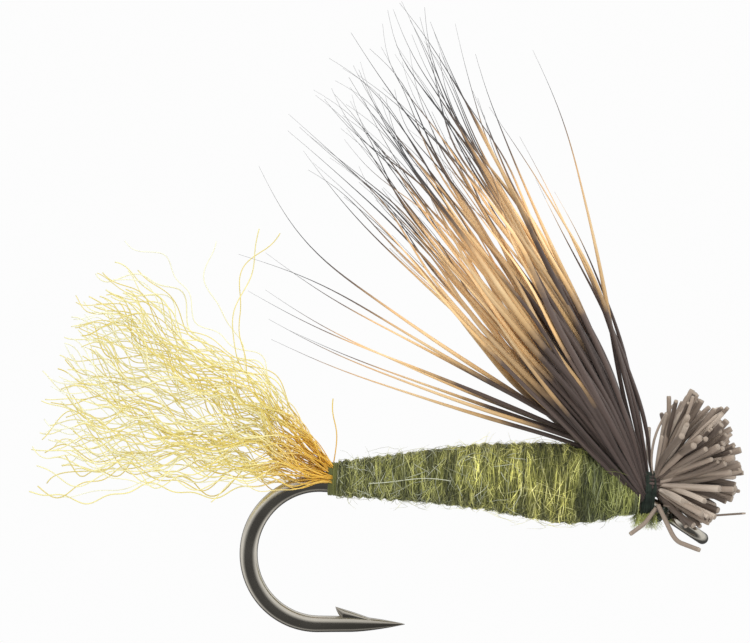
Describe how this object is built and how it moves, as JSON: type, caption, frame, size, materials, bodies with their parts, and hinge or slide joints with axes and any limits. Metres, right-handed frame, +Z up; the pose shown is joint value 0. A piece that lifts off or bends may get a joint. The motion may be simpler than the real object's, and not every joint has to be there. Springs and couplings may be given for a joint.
{
  "type": "dry fly",
  "caption": "Dry fly: barbed down-eye hook, olive dubbed body, flared down-wing of banded hair with clipped butts for a head, and a crinkled gold yarn trailing shuck.",
  "frame": {"origin": "centre of the hook's eye", "axes": "+X forward along the shank towards the eye, +Z up from the shank towards the wing, +Y across the fly"},
  "size_m": [0.0203, 0.0066, 0.0178],
  "materials": {
    "bronzed_wire": "dark bronzed wire, satin gloss",
    "dark_thread": "waxed very dark green tying thread",
    "cement": "clear glossy head cement over dark thread",
    "gold_yarn": "crinkled shiny synthetic yarn, golden yellow",
    "olive_dubbing": "fine matt dubbing, mixed olives",
    "wing_hair": "natural hollow hair, grey-brown base, tan band, near-black tip",
    "hair_butts": "clipped taupe hair with paler cut ends"
  },
  "bodies": {
    "tied_hook": {"hook": "bronzed_wire", "thread_base": "dark_thread", "shuck_binding": "dark_thread", "collar_thread": "dark_thread", "whip_finish": "dark_thread", "head_cement": "cement", "shuck_stub": "gold_yarn", "body_dubbing": "olive_dubbing", "collar_dubbing": "olive_dubbing", "hair_waist": "wing_hair", "draped_hairs": "wing_hair", "head_butts_back": "hair_butts", "head_butts_top": "hair_butts", "head_butts_front": "hair_butts", "head_butts_nose": "hair_butts", "head_butts_under": "hair_butts", "stray_butt": "hair_butts", "kinked_butt": "hair_butts"},
    "wing": {"wing_lowest_hairs": "wing_hair", "wing_lower_hairs": "wing_hair", "wing_low_middle_hairs": "wing_hair", "wing_middle_hairs": "wing_hair", "wing_high_middle_hairs": "wing_hair", "wing_upper_hairs": "wing_hair", "wing_highest_hairs": "wing_hair", "wing_ridge_hairs": "wing_hair", "wing_stray_hairs": "wing_hair"},
    "shuck": {"shuck_bottom_locks": "gold_yarn", "shuck_lower_locks": "gold_yarn", "shuck_middle_locks": "gold_yarn", "shuck_upper_locks": "gold_yarn", "shuck_top_locks": "gold_yarn", "shuck_stray_fibres": "gold_yarn"}
  },
  "joints": [
    {"name": "wing_flex", "type": "hinge", "parent": "tied_hook", "child": "wing", "pos_m": [-0.00119, 0, 0.00146], "axis": [0, 1, 0], "range_deg": [-8, 8], "stiffness_Nm_per_rad": 0.0003},
    {"name": "shuck_sway", "type": "hinge", "parent": "tied_hook", "child": "shuck", "pos_m": [-0.0103, 0, 0.00095], "axis": [0, 0, 1], "range_deg": [-20, 20], "stiffness_Nm_per_rad": 0.00003}
  ]
}
